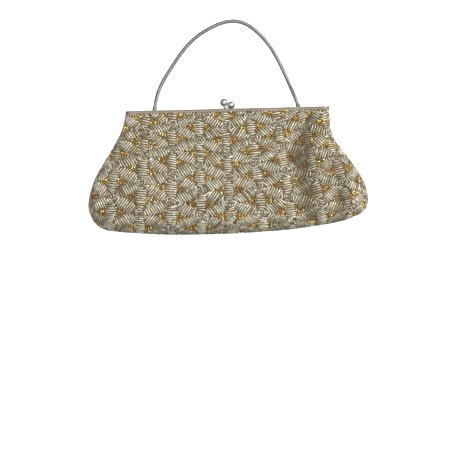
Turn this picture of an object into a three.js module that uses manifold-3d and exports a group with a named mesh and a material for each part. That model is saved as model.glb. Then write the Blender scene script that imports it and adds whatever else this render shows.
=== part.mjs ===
// A small beaded evening purse lying on its back: two beaded cloth panels sewn round a hollow,
// a two-part metal frame hinged at its leg ends, a kiss clasp of two round knobs, and a snake chain
// handle whose end caps are held on posts inside the frame.
// Millimetres. +X runs along the frame, +Y from the bottom of the purse to its handle, and +Z up,
// out of the front panel. The origin is the middle of the footprint, on the surface it lies on.
import * as THREE from "three";
import { mergeVertices } from "three/addons/utils/BufferGeometryUtils.js";
import Module from "manifold-3d";

const wasm = await Module();
wasm.setup();

// Clearances
const gap = 0.3; // between pieces that touch
const railInset = 0.2; // the rails lie this far inside the cloth's faces

// Overall sizes of the purse
const frameWidth = 181; // across the closed frame
const closedDepth = 14; // front to back at the frame
const bellyHalfWidth = 124; // mean half width at the widest place
const purseDrop = 110.9; // top of the frame to the bottom seam
const bellyDepth = 28; // front to back at the fullest place
const bellySeamHeight = 8.5; // height of the side and bottom seams under the belly
const panelWall = 2.4; // cloth, beads and lining together
const legEdgeRadius = 5.2; // rounding of the panels beside the frame's legs
const frontEdgeRadius = 16; // rounding of the front panel towards the seam
const backEdgeRadius = 9; // rounding of the back panel towards the seam

// Frame
const railHeight = 1.5;
const plateThickness = 1.2;
const plateDrop = 9; // bottom of the glued flange behind the panel's edge
const legDrop = 20; // bottom of the legs
const legStrip = 4; // width of the strip that the flange narrows to along a leg
const legEnd = 1; // length of a leg below its hinge ear
const earWall = 1.3; // metal round a hinge hole
const rivetRadius = 0.9;
const rivetHeadThickness = 0.6;
const headLip = 0.6; // how far a rivet's or foot's head reaches past its hole

// Kiss clasp
const knobRadius = 3.1;
const knobFootThickness = 0.7;
const knobNeckRadius = 1.1;
const knobPostRadius = 0.7;
const knobLean = 1; // how far a knob's ball leans back over the parting plane
const frontKnob = { foot: -1.4, across: -2.6, rise: 6.1 };
const backKnob = { foot: 3.4, across: 4, rise: 3.5 };

// Handle
const chainDiameter = 2.9;
const chainRest = 0.05; // air under the chain where it lies
const handleHalfSpan = 65.3; // from the middle of the frame to a handle post
const handleRise = 78.7; // top of the frame to the middle of the chain at the top of its arch
const leftLean = 0.12; // radians that the left end leans inwards
const rightLean = 0.34; // radians that the right end leans inwards
const postRadius = 0.8;
const postHeadThickness = 0.7;
const tongueThickness = 1.2;
const tongueWall = 0.8; // metal round a tongue's hole
const tongueLength = 2.6; // from the post to the socket
const socketLength = 6;
const socketWall = 0.4;

// The side seams as a share of the way from the frame's width (0) to the belly's (1), a row for each
// height, given as a share of the purse's drop.
const sideRows = [
  { down: 0, left: 0, right: 0 },
  { down: 0.072, left: 0.05, right: 0.01 },
  { down: 0.135, left: 0.11, right: 0.02 },
  { down: 0.198, left: 0.21, right: 0.06 },
  { down: 0.27, left: 0.35, right: 0.17 },
  { down: 0.343, left: 0.49, right: 0.34 },
  { down: 0.415, left: 0.64, right: 0.51 },
  { down: 0.487, left: 0.79, right: 0.68 },
  { down: 0.559, left: 0.9, right: 0.81 },
  { down: 0.631, left: 0.98, right: 0.91 },
  { down: 0.703, left: 1.03, right: 0.965 },
];

// The bottom seam from left to right, as shares of the belly's half width and of the purse's drop.
const bottomRows = [
  { across: -1.011, down: 0.765 },
  { across: -0.997, down: 0.824 },
  { across: -0.973, down: 0.876 },
  { across: -0.938, down: 0.918 },
  { across: -0.892, down: 0.944 },
  { across: -0.799, down: 0.963 },
  { across: -0.669, down: 0.978 },
  { across: -0.5, down: 0.992 },
  { across: -0.3, down: 1 },
  { across: -0.1, down: 1 },
  { across: 0.108, down: 0.996 },
  { across: 0.323, down: 0.985 },
  { across: 0.502, down: 0.969 },
  { across: 0.682, down: 0.943 },
  { across: 0.79, down: 0.921 },
  { across: 0.877, down: 0.891 },
  { across: 0.941, down: 0.857 },
  { across: 0.976, down: 0.818 },
  { across: 0.99, down: 0.765 },
];

// Soft folds and swellings of the front panel. Each runs from one point to another, in shares of the
// belly's half width and the purse's drop; width is a share of the drop, and lift of the belly's depth.
const folds = {
  rightValley: { x0: 0.6, y0: 0.1, x1: 0.5, y1: 0.38, width: 0.075, lift: -0.13 },
  rightValleyFoot: { x0: 0.5, y0: 0.38, x1: 0.57, y1: 0.85, width: 0.085, lift: -0.12 },
  rightRidge: { x0: 0.66, y0: 0.18, x1: 0.7, y1: 0.7, width: 0.08, lift: 0.07 },
  hipValley: { x0: 0.74, y0: 0.42, x1: 0.8, y1: 0.8, width: 0.07, lift: -0.12 },
  hipRidge: { x0: 0.88, y0: 0.55, x1: 0.9, y1: 0.8, width: 0.08, lift: 0.05 },
  leftSwell: { x0: -0.58, y0: 0.15, x1: -0.55, y1: 0.5, width: 0.12, lift: 0.05 },
  leftValley: { x0: -0.72, y0: 0.3, x1: -0.84, y1: 0.75, width: 0.09, lift: -0.05 },
  middleSwell: { x0: 0.05, y0: 0.5, x1: 0.07, y1: 0.85, width: 0.2, lift: 0.03 },
  middleValley: { x0: 0.22, y0: 0.25, x1: 0.27, y1: 0.9, width: 0.1, lift: -0.03 },
};

// Where the panels' forms change, from one share of the purse's drop to another
const seamSinks = [0.15, 0.6]; // the seam, from the frame's middle to its height under the belly
const edgeSoftens = [0.16, 0.42]; // the rounding, from the legs' to the belly's
const bellySwells = [0.02, 0.72]; // the depth, from the frame's to the belly's
const bottomFalls = [0.75, 1]; // the depth, from the belly's to a little less
const foldsStart = [0.04, 0.25]; // the folds, from nothing to their full lift
const bottomFall = 0.1; // share of the swelling lost at the bottom
const sideFall = 0.2; // share of the swelling lost at the sides

// The chain's arch seen from the front, as shares of the handle's half span and rise
const chainRoute = [
  { across: -0.943, up: 0.19 },
  { across: -0.907, up: 0.273 },
  { across: -0.864, up: 0.341 },
  { across: -0.81, up: 0.412 },
  { across: -0.749, up: 0.489 },
  { across: -0.678, up: 0.573 },
  { across: -0.596, up: 0.667 },
  { across: -0.479, up: 0.771 },
  { across: -0.36, up: 0.854 },
  { across: -0.256, up: 0.905 },
  { across: -0.153, up: 0.948 },
  { across: -0.049, up: 0.982 },
  { across: 0.046, up: 0.999 },
  { across: 0.155, up: 0.999 },
  { across: 0.25, up: 0.978 },
  { across: 0.335, up: 0.938 },
  { across: 0.429, up: 0.872 },
  { across: 0.516, up: 0.797 },
  { across: 0.594, up: 0.717 },
  { across: 0.672, up: 0.607 },
  { across: 0.744, up: 0.488 },
  { across: 0.809, up: 0.362 },
  { across: 0.867, up: 0.249 },
];
const chainLanding = 0.3; // share of the rise by which the chain has come down to the surface

// How finely the curved faces are cut
const seamSteps = 240;
const panelColumns = 34;
const panelRows = 11;
const edgeRings = 5;
const chainSteps = 40;
const chainSides = 10;
const roundSides = 16;
const ballRings = 10;
const cornerSteps = 6;
const weldDistance = 1e-4;

// Heights and places worked out from the sizes above
const partingHeight = closedDepth / 2;
const frameHalf = frameWidth / 2;
const panelTop = -(railHeight + gap);
const plateHalfDepth = partingHeight - panelWall - gap;
const plateHalfWidth = frameHalf - panelWall - 2 * gap - rivetHeadThickness;
const plateInnerDepth = plateHalfDepth - plateThickness;
const plateCorner = legEdgeRadius - panelWall - 2 * gap;
const earRadius = rivetRadius + gap + earWall;
const hingeDrop = legDrop - legEnd - earRadius;
const rivetHeadRadius = rivetRadius + gap + headLip;
const knobPostOffset = plateInnerDepth / 2; // from the parting plane to a knob's post
const knobFootRadius = knobPostRadius + gap + headLip;
const knobSpreadRadius = knobPostRadius + gap + headLip / 2;
const postDrop = (railHeight + plateDrop) / 2;
const postHeadRadius = postRadius + gap + headLip / 2;
const tongueHalfWidth = postRadius + gap + tongueWall;
const chainRadius = chainDiameter / 2;
const capBore = chainRadius + gap / 2;
const capRadius = capBore + socketWall;

const mix = (a, b, t) => a + (b - a) * t;

const smooth = ([from, to], value) => THREE.MathUtils.smoothstep(value, from, to);

// Booleans on closed three.js meshes
function solidOf(geometry) {
  const bare = geometry.clone();
  bare.deleteAttribute("normal");
  bare.deleteAttribute("uv");
  const merged = mergeVertices(bare, weldDistance);
  return new wasm.Manifold(
    new wasm.Mesh({
      numProp: 3,
      vertProperties: new Float32Array(merged.attributes.position.array),
      triVerts: new Uint32Array(merged.index.array),
    }),
  );
}

function geometryOf(solid) {
  const mesh = solid.getMesh();
  const geometry = new THREE.BufferGeometry();
  geometry.setAttribute("position", new THREE.BufferAttribute(mesh.vertProperties, 3));
  geometry.setIndex(new THREE.BufferAttribute(mesh.triVerts, 1));
  const flat = geometry.toNonIndexed();
  flat.computeVertexNormals();
  return flat;
}

function join(...geometries) {
  return geometryOf(geometries.map(solidOf).reduce((all, next) => all.add(next)));
}

function cut(geometry, ...tools) {
  return geometryOf(tools.map(solidOf).reduce((rest, tool) => rest.subtract(tool), solidOf(geometry)));
}

function box(low, high) {
  const size = new THREE.Vector3().subVectors(high, low);
  const middle = new THREE.Vector3().addVectors(high, low).multiplyScalar(0.5);
  return new THREE.BoxGeometry(size.x, size.y, size.z).translate(middle.x, middle.y, middle.z);
}

// A round bar of two radii between two points
function roundBar(from, to, startRadius, endRadius = startRadius) {
  const along = new THREE.Vector3().subVectors(to, from);
  const turn = new THREE.Quaternion().setFromUnitVectors(
    new THREE.Vector3(0, 1, 0),
    along.clone().normalize(),
  );
  const middle = new THREE.Vector3().addVectors(from, to).multiplyScalar(0.5);
  return new THREE.CylinderGeometry(endRadius, startRadius, along.length(), roundSides)
    .applyQuaternion(turn)
    .translate(middle.x, middle.y, middle.z);
}

const point = (x, y, z) => new THREE.Vector3(x, y, z);

// The seam seen from the front, from the left end of the frame round the bottom to the right end
function seamLine() {
  const span = purseDrop + panelTop;
  const width = (share) => mix(frameHalf, bellyHalfWidth, share);
  const height = (share) => panelTop - span * share;
  const left = sideRows.map((row) => point(-width(row.left), height(row.down), 0));
  const bottom = bottomRows.map((row) => point(row.across * bellyHalfWidth, height(row.down), 0));
  const right = sideRows.map((row) => point(width(row.right), height(row.down), 0)).reverse();
  return new THREE.CatmullRomCurve3([...left, ...bottom, ...right], false, "centripetal");
}

const seam = seamLine();
const seamSamples = seam.getSpacedPoints(seamSteps);
// Carried on past the top, so that distances near the frame are measured to the sides only
const seamPath = [
  seamSamples[0].clone().setY(purseDrop),
  ...seamSamples,
  seamSamples.at(-1).clone().setY(purseDrop),
];

// The share of the seam's length at which a side turns into the bottom
function cornerShare(side) {
  const reach = seamSamples.map((sample) => side * sample.x - sample.y);
  return reach.indexOf(Math.max(...reach)) / (seamSamples.length - 1);
}

const leftCorner = cornerShare(-1);
const rightCorner = cornerShare(1);

function distanceToSeam(x, y) {
  const here = point(x, y, 0);
  const nearest = point(0, 0, 0);
  let best = Infinity;
  for (let i = 1; i < seamPath.length; i++) {
    new THREE.Line3(seamPath[i - 1], seamPath[i]).closestPointToPoint(here, true, nearest);
    best = Math.min(best, nearest.distanceTo(here));
  }
  return best;
}

const downShare = (y) => THREE.MathUtils.clamp(-y / purseDrop, 0, 1);

function seamHeight(y) {
  return mix(partingHeight, bellySeamHeight, smooth(seamSinks, downShare(y)));
}

function edgeRadius(y, bellyRadius) {
  return mix(legEdgeRadius, bellyRadius, smooth(edgeSoftens, downShare(y)));
}

// 0 on the seam and 1 where the rounding ends
function edgeRise(x, y, bellyRadius) {
  const share = Math.min(distanceToSeam(x, y) / edgeRadius(y, bellyRadius), 1);
  return Math.sqrt(1 - (1 - share) ** 2);
}

function foldLift(x, y) {
  const here = point(x, y, 0);
  let lift = 0;
  for (const fold of Object.values(folds)) {
    const from = point(fold.x0 * bellyHalfWidth, -fold.y0 * purseDrop, 0);
    const to = point(fold.x1 * bellyHalfWidth, -fold.y1 * purseDrop, 0);
    const nearest = new THREE.Line3(from, to).closestPointToPoint(here, true, point(0, 0, 0));
    const away = nearest.distanceTo(here) / (fold.width * purseDrop);
    lift += fold.lift * bellyDepth * Math.exp(-away * away);
  }
  return lift * smooth(foldsStart, downShare(y));
}

function frontHeight(x, y) {
  const down = downShare(y);
  const swell = smooth(bellySwells, down) * (1 - bottomFall * smooth(bottomFalls, down));
  const narrow = 1 - sideFall * (x / bellyHalfWidth) ** 2;
  const full = closedDepth + (bellyDepth - closedDepth) * swell * narrow + foldLift(x, y);
  return mix(seamHeight(y), full, edgeRise(x, y, frontEdgeRadius));
}

function backHeight(x, y) {
  return seamHeight(y) * (1 - edgeRise(x, y, backEdgeRadius));
}

// Where on the seam a point of the panel's edge lies, or null away from that edge. across runs from
// the left seam (0) to the right (1), and down from the frame (0) to the bottom seam (1).
function seamShare(across, down) {
  if (across === 0) return down * leftCorner;
  if (across === 1) return mix(1, rightCorner, down);
  return down === 1 ? mix(leftCorner, rightCorner, across) : null;
}

// A point of a panel seen from the front: the straight lines between the sides, bent to the bottom
function planPoint(across, down) {
  const left = seam.getPointAt(down * leftCorner);
  const right = seam.getPointAt(mix(1, rightCorner, down));
  const level = seam.getPointAt(leftCorner).lerp(seam.getPointAt(rightCorner), across);
  const bend = seam.getPointAt(mix(leftCorner, rightCorner, across)).sub(level);
  return left.lerp(right, across).addScaledVector(bend, down);
}

// Steps that lie close together where the panel is rounded towards its seam
const ringShare = (ring) => 1 - Math.cos((ring / edgeRings) * (Math.PI / 2));

function acrossAt(column, edge) {
  const last = panelColumns + 2 * edgeRings;
  if (column < edgeRings) return edge * ringShare(column);
  if (column > last - edgeRings) return 1 - edge * ringShare(last - column);
  return mix(edge, 1 - edge, (column - edgeRings) / panelColumns);
}

function downAt(row, edge) {
  const last = panelRows + edgeRings;
  return row > panelRows ? 1 - edge * ringShare(last - row) : (1 - edge) * (row / panelRows);
}

// The direction out of a panel's outer face
function outward(height, facing, place, share, onTop) {
  const normal = point(0, 0, 0);
  if (share === null) {
    const step = 0.02;
    const slope = (dx, dy) => height(place.x + dx, place.y + dy) - height(place.x - dx, place.y - dy);
    normal.set(-slope(step, 0), -slope(0, step), 2 * step).multiplyScalar(facing);
  } else {
    const tangent = seam.getTangentAt(share);
    normal.set(tangent.y, -tangent.x, 0);
  }
  if (onTop) normal.setY(0);
  return normal.normalize();
}

// A cloth panel: the outer face, the same face moved in by the wall, and the edges between them.
// facing is 1 for the front panel and -1 for the back one.
function panel(height, radius, facing) {
  const rows = panelRows + edgeRings;
  const columns = panelColumns + 2 * edgeRings;
  const outer = [];
  const inner = [];
  for (let i = 0; i <= rows; i++) {
    const down = downAt(i, radius / purseDrop);
    const left = planPoint(0, down);
    const edge = edgeRadius(left.y, radius) / (planPoint(1, down).x - left.x);
    for (let j = 0; j <= columns; j++) {
      const across = acrossAt(j, edge);
      const share = seamShare(across, down);
      const place = planPoint(across, down);
      place.z = share === null ? height(place.x, place.y) : seamHeight(place.y) + (facing * gap) / 2;
      outer.push(place);
      const normal = outward(height, facing, place, share, i === 0);
      inner.push(place.clone().addScaledVector(normal, -panelWall));
    }
  }
  return shell(outer, inner, rows + 1, columns + 1, facing);
}

// A closed shell between two grids of points, whose rows run from left to right
function shell(outer, inner, rows, columns, facing) {
  const index = [];
  const outerAt = (i, j) => i * columns + j;
  const innerAt = (i, j) => rows * columns + i * columns + j;
  const triangle = (a, b, c) => index.push(...(facing > 0 ? [a, b, c] : [a, c, b]));
  function quad(a, b, c, d) {
    triangle(a, b, c);
    triangle(a, c, d);
  }
  for (let i = 0; i + 1 < rows; i++) {
    for (let j = 0; j + 1 < columns; j++) {
      const cell = [[i + 1, j], [i + 1, j + 1], [i, j + 1], [i, j]];
      // In the right half the diagonals run towards the right lower corner
      if (2 * j + 1 > columns) cell.push(cell.shift());
      const [a, b, c, d] = cell;
      quad(outerAt(...a), outerAt(...b), outerAt(...c), outerAt(...d));
      quad(innerAt(...a), innerAt(...d), innerAt(...c), innerAt(...b));
    }
    quad(outerAt(i, 0), innerAt(i, 0), innerAt(i + 1, 0), outerAt(i + 1, 0));
    const last = columns - 1;
    quad(outerAt(i + 1, last), innerAt(i + 1, last), innerAt(i, last), outerAt(i, last));
  }
  for (let j = 0; j + 1 < columns; j++) {
    const last = rows - 1;
    quad(outerAt(0, j + 1), innerAt(0, j + 1), innerAt(0, j), outerAt(0, j));
    quad(outerAt(last, j), innerAt(last, j), innerAt(last, j + 1), outerAt(last, j + 1));
  }
  const geometry = new THREE.BufferGeometry().setFromPoints([...outer, ...inner]);
  geometry.setIndex(index);
  const flat = geometry.toNonIndexed();
  flat.computeVertexNormals();
  return flat;
}

// One half of a rounded plate seen from the top of the purse: x along the frame, y away from the
// parting plane. Its back is straight, gap / 2 short of that plane.
function halfPlate(halfWidth, halfDepth, corner) {
  const shape = new THREE.Shape();
  shape.moveTo(-halfWidth, gap / 2);
  shape.lineTo(halfWidth, gap / 2);
  shape.lineTo(halfWidth, halfDepth - corner);
  shape.absarc(halfWidth - corner, halfDepth - corner, corner, 0, Math.PI / 2);
  shape.lineTo(-halfWidth + corner, halfDepth);
  shape.absarc(-halfWidth + corner, halfDepth - corner, corner, Math.PI / 2, Math.PI);
  shape.closePath();
  return shape;
}

// A shape drawn by halfPlate, standing between two drops below the top of the frame, on its own side
// of the parting plane
function upright(shape, top, bottom, facing) {
  const geometry = new THREE.ExtrudeGeometry(shape, {
    depth: bottom - top,
    bevelEnabled: false,
    curveSegments: cornerSteps,
  });
  // The drawing's y becomes +z, and the extrusion runs down
  geometry.rotateX(Math.PI / 2).translate(0, -top, partingHeight);
  return facing > 0 ? geometry : geometry.rotateY(Math.PI).translate(0, 0, closedDepth);
}

function hingeEar(side, facing) {
  const nested = facing > 0 ? plateThickness + gap : 0; // the front half's ears lie inside the back half's
  const outside = plateHalfWidth - nested;
  const low = side > 0 ? outside - plateThickness : -outside;
  const disc = roundBar(
    point(low, -hingeDrop, partingHeight),
    point(low + plateThickness, -hingeDrop, partingHeight),
    earRadius,
  );
  const reach = facing * (plateHalfDepth - plateThickness / 2);
  const stem = box(
    point(low, -hingeDrop - earRadius, Math.min(partingHeight, partingHeight + reach)),
    point(low + plateThickness, -hingeDrop + earRadius, Math.max(partingHeight, partingHeight + reach)),
  );
  return join(disc, stem);
}

// A rail along the top, a flange and two legs below it, and a hinge ear on each leg
function frameSide(facing) {
  const rail = upright(
    halfPlate(frameHalf - railInset, partingHeight - railInset, legEdgeRadius - railInset),
    0,
    railHeight,
    facing,
  );
  const plate = upright(
    halfPlate(plateHalfWidth, plateHalfDepth, plateCorner),
    railHeight - gap,
    legDrop,
    facing,
  );
  const hollow = upright(
    halfPlate(plateHalfWidth - plateThickness, plateInnerDepth, plateCorner - plateThickness),
    railHeight,
    legDrop + gap,
    facing,
  );
  const parting = box(
    point(-frameHalf, -legDrop - gap, partingHeight - gap),
    point(frameHalf, -railHeight, partingHeight + gap),
  );
  const window = box(
    point(-plateHalfWidth + legStrip, -legDrop - gap, 0),
    point(plateHalfWidth - legStrip, -plateDrop, closedDepth),
  );
  // A round bar through one leg, from a place inside it to the side of the purse
  function throughLeg(side, inside, radius) {
    const at = (x) => point(side * x, -hingeDrop, partingHeight);
    return roundBar(at(inside), at(frameHalf), radius);
  }
  let half = cut(join(rail, plate), hollow, window, parting);
  for (const side of [-1, 1]) {
    const earRoom = throughLeg(side, plateHalfWidth - plateThickness - gap, earRadius + gap);
    if (facing > 0) half = cut(half, earRoom);
    half = join(half, hingeEar(side, facing));
    half = cut(half, throughLeg(side, plateHalfWidth - legStrip, rivetRadius + gap));
  }
  half = cut(half, knobHole(facing), ...handleEnds.map(handleSlot));
  return facing > 0 ? half : join(half, ...handleEnds.map(handlePost));
}

function knobHole(facing) {
  const { foot } = facing > 0 ? frontKnob : backKnob;
  const height = partingHeight + facing * knobPostOffset;
  const [low, high] = [point(foot, -railHeight - gap, height), point(foot, gap, height)];
  return roundBar(low, high, knobPostRadius + gap);
}

// Where the handle is held, and which way each of its ends leaves the frame
const handleEnds = [
  { name: "left", across: -handleHalfSpan, turn: -leftLean },
  { name: "right", across: handleHalfSpan, turn: rightLean },
];

function alongEnd(end, distance, height = partingHeight) {
  const x = end.across - Math.sin(end.turn) * distance;
  return point(x, -postDrop + Math.cos(end.turn) * distance, height);
}

// The opening in both rails that an end cap passes through
function handleSlot(end) {
  const below = alongEnd(end, postDrop - railHeight - capRadius);
  const above = alongEnd(end, postDrop + capRadius);
  return roundBar(below, above, capRadius + gap);
}

// A post on the back flange, with a collar under the cap's tongue and a head over it
function handlePost(end) {
  const tongueLow = partingHeight - tongueThickness / 2 - gap;
  const tongueHigh = partingHeight + tongueThickness / 2 + gap;
  const flange = partingHeight - plateInnerDepth - plateThickness / 2;
  return join(
    roundBar(alongEnd(end, 0, flange), alongEnd(end, 0, tongueLow), postHeadRadius),
    roundBar(alongEnd(end, 0, flange), alongEnd(end, 0, tongueHigh + postHeadThickness / 2), postRadius),
    roundBar(
      alongEnd(end, 0, tongueHigh),
      alongEnd(end, 0, tongueHigh + postHeadThickness),
      postHeadRadius,
    ),
  );
}

// A socket for the chain with a flat tongue, drilled for its post
function endCap() {
  const socketFoot = tongueLength;
  const tongue = join(
    roundBar(
      point(0, 0, -tongueThickness / 2),
      point(0, 0, tongueThickness / 2),
      tongueHalfWidth,
    ),
    box(
      point(-capRadius, 0, -tongueThickness / 2),
      point(capRadius, socketFoot + socketWall, tongueThickness / 2),
    ),
  );
  const socket = roundBar(point(0, socketFoot, 0), point(0, socketFoot + socketLength, 0), capRadius);
  const bore = roundBar(
    point(0, socketFoot + 2 * socketWall, 0),
    point(0, socketFoot + socketLength + gap, 0),
    capBore,
  );
  const hole = roundBar(point(0, 0, -tongueThickness), point(0, 0, tongueThickness), postRadius + gap);
  return cut(join(tongue, socket), hole, bore);
}

// A flat curve, lifted at its ends from the surface to the middle of the frame
class ChainLine extends THREE.Curve {
  constructor(flatCurve) {
    super();
    this.flatCurve = flatCurve;
  }

  getPoint(t, target = point(0, 0, 0)) {
    this.flatCurve.getPoint(t, target);
    const socketMouth = tongueLength + socketLength - postDrop;
    const landed = smooth([socketMouth, chainLanding * handleRise], target.y);
    return target.setZ(mix(partingHeight, chainRadius + chainRest, landed));
  }
}

function chainLine() {
  const inSocket = tongueLength + 2 * socketWall + gap;
  const mouth = tongueLength + socketLength + gap;
  const [left, right] = handleEnds;
  const arch = chainRoute.map((row) => point(row.across * handleHalfSpan, row.up * handleRise, 0));
  const flatPoints = [
    alongEnd(left, inSocket),
    alongEnd(left, mouth),
    ...arch,
    alongEnd(right, mouth),
    alongEnd(right, inSocket),
  ];
  return new ChainLine(new THREE.CatmullRomCurve3(flatPoints, false, "centripetal"));
}

function chain() {
  const section = new THREE.Shape();
  const corners = Array.from({ length: chainSides }, (_, i) => (2 * Math.PI * i) / chainSides);
  section.setFromPoints(
    corners.map((a) => new THREE.Vector2(chainRadius * Math.cos(a), chainRadius * Math.sin(a))),
  );
  return new THREE.ExtrudeGeometry(section, { steps: chainSteps, extrudePath: chainLine() });
}

// A knob: a post through the rail with its end spread below, a foot on the rail, a neck and a ball
function knob({ foot, across, rise }, facing) {
  const ballCentre = point(across, rise, partingHeight + facing * (knobPostOffset - knobLean));
  const at = (y) => point(foot, y, partingHeight + facing * knobPostOffset);
  const footTop = gap + knobFootThickness;
  const under = -railHeight - gap;
  return join(
    new THREE.SphereGeometry(knobRadius, roundSides, ballRings).translate(...ballCentre),
    roundBar(at(gap), ballCentre, knobNeckRadius, 2 * knobNeckRadius),
    roundBar(at(gap), at(footTop), knobFootRadius),
    roundBar(at(under), at(footTop), knobPostRadius),
    roundBar(at(under - knobFootThickness), at(under), knobSpreadRadius),
  );
}

function hingeRivet(side) {
  const inside = plateHalfWidth - 2 * plateThickness - 2 * gap - rivetHeadThickness;
  const outside = plateHalfWidth + gap + rivetHeadThickness;
  const at = (x) => point(side * x, -hingeDrop, partingHeight);
  return join(
    roundBar(at(inside), at(outside), rivetRadius),
    roundBar(at(inside), at(inside + rivetHeadThickness), rivetHeadRadius),
    roundBar(at(outside - rivetHeadThickness), at(outside), rivetHeadRadius),
  );
}

const beading = { color: 0xb5a78c, roughness: 0.35, metalness: 0.3 };
const nickel = { color: 0xb4b4b2, roughness: 0.25, metalness: 1 };
const chrome = { color: 0xd2d4d6, roughness: 0.08, metalness: 1 };
const chainMetal = { color: 0xbdbdbd, roughness: 0.3, metalness: 1 };

function piece(name, geometry, look) {
  const mesh = new THREE.Mesh(geometry, new THREE.MeshStandardMaterial(look));
  mesh.name = name;
  return mesh;
}

const bag = new THREE.Group();
bag.add(
  piece("front_panel", panel(frontHeight, frontEdgeRadius, 1), beading),
  piece("back_panel", panel(backHeight, backEdgeRadius, -1), beading),
);

const frame = new THREE.Group();
frame.add(
  piece("frame_front", frameSide(1), nickel),
  piece("frame_back", frameSide(-1), nickel),
  piece("hinge_rivet_left", hingeRivet(-1), nickel),
  piece("hinge_rivet_right", hingeRivet(1), nickel),
  piece("clasp_knob_front", knob(frontKnob, 1), chrome),
  piece("clasp_knob_back", knob(backKnob, -1), chrome),
);

const handle = new THREE.Group();
handle.add(piece("handle_chain", chain(), chainMetal));
for (const end of handleEnds) {
  const cap = piece(`handle_cap_${end.name}`, endCap(), chainMetal);
  cap.position.copy(alongEnd(end, 0));
  cap.rotation.z = end.turn;
  handle.add(cap);
}

const purse = new THREE.Group();
purse.add(bag, frame, handle);

// Everything above is measured from the top of the frame; the footprint's middle becomes the origin
const footprint = new THREE.Box3().setFromObject(purse);
const middle = footprint.getCenter(point(0, 0, 0));
purse.position.set(-middle.x, -middle.y, 0);

const model = new THREE.Group();
model.add(purse);
export default model;
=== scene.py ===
# A beaded frame purse lying on its back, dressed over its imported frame: two bead-covered cloth
# panels, a polished frame with a kiss clasp, a snake chain handle, and the table it lies on.
# Shapes are worked out in millimetres from the middle of the top of the frame, as the part's source
# has them, and become metres in the part's frame when a mesh is made.
import math

import bpy
import numpy as np
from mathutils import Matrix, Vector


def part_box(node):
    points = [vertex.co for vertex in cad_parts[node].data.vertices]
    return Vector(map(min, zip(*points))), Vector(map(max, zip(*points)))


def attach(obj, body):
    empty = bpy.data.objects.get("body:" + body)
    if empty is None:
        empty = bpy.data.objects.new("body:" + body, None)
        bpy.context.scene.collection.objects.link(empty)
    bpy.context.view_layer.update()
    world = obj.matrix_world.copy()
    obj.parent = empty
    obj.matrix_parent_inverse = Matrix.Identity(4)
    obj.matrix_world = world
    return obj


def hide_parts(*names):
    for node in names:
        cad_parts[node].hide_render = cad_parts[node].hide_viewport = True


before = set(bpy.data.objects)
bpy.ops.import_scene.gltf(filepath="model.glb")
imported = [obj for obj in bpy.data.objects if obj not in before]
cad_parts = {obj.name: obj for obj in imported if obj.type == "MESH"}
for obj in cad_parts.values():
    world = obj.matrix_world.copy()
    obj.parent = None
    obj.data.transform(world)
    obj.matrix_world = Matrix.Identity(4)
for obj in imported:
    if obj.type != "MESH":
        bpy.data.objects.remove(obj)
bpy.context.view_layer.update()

MM = 0.001
TINY = 1e-6
frame_low, frame_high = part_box("frame_front")
ORIGIN = np.array([(frame_low.x + frame_high.x) / 2 / MM, frame_high.y / MM, 0.0])
UP = np.array([0.0, 0.0, 1.0])


def added(name, data):
    """A new object in the scene."""
    thing = bpy.data.objects.new(name, data)
    bpy.context.scene.collection.objects.link(thing)
    return thing


# Camera: straight above, far away, turned a little so that the frame's right end sits higher
VIEW_MIDDLE = (-4.55, -102.7)
VIEW_WIDTH = 399.2
VIEW_HEIGHT = 7.0
VIEW_DISTANCE = 1200.0
VIEW_TURN = -1.4
SENSOR = 36.0


def make_camera():
    data = bpy.data.cameras.new("camera")
    data.sensor_width = SENSOR
    data.lens = SENSOR * VIEW_DISTANCE / VIEW_WIDTH
    data.clip_start = 0.05
    data.clip_end = 20
    camera = added("camera", data)
    place = ORIGIN + np.array([*VIEW_MIDDLE, VIEW_HEIGHT + VIEW_DISTANCE])
    camera.location = place * MM
    camera.rotation_euler = (0, 0, math.radians(VIEW_TURN))
    bpy.context.scene.camera = camera


make_camera()

# Sizes that the part's source has too, in millimetres
GAP = 0.3
CLOSED_DEPTH = 14
FRAME_HALF = 90.5
BELLY_HALF = 124
PURSE_DROP = 110.9
BELLY_DEPTH = 28
BELLY_SEAM_HEIGHT = 8.5
PANEL_WALL = 2.4
LEG_EDGE_RADIUS = 5.2
RAIL_HEIGHT = 1.5
PANEL_TOP = -(RAIL_HEIGHT + GAP)
PARTING = CLOSED_DEPTH / 2
SEAM_SINKS = (0.15, 0.6)
EDGE_SOFTENS = (0.16, 0.42)
BELLY_SWELLS = (0.02, 0.72)
BOTTOM_FALLS = (0.75, 1)
FOLDS_START = (0.04, 0.25)
BOTTOM_FALL = 0.1
SIDE_FALL = 0.2

# Side seams: share of the drop, and the left and right sides' share of the way to the belly's width
SIDE_ROWS = [
    (0, 0, 0),
    (0.072, 0.05, 0.01),
    (0.135, 0.11, 0.02),
    (0.198, 0.21, 0.06),
    (0.27, 0.35, 0.17),
    (0.343, 0.49, 0.34),
    (0.415, 0.64, 0.51),
    (0.487, 0.79, 0.68),
    (0.559, 0.9, 0.81),
    (0.631, 0.98, 0.91),
    (0.703, 1.03, 0.965),
]

# Bottom seam from left to right: shares of the belly's half width and of the drop
BOTTOM_ROWS = [
    (-1.011, 0.765),
    (-0.997, 0.824),
    (-0.973, 0.876),
    (-0.938, 0.918),
    (-0.892, 0.944),
    (-0.799, 0.963),
    (-0.669, 0.978),
    (-0.5, 0.992),
    (-0.3, 1),
    (-0.1, 1),
    (0.108, 0.996),
    (0.323, 0.985),
    (0.502, 0.969),
    (0.682, 0.943),
    (0.79, 0.921),
    (0.877, 0.891),
    (0.941, 0.857),
    (0.976, 0.818),
    (0.99, 0.765),
]

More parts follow.
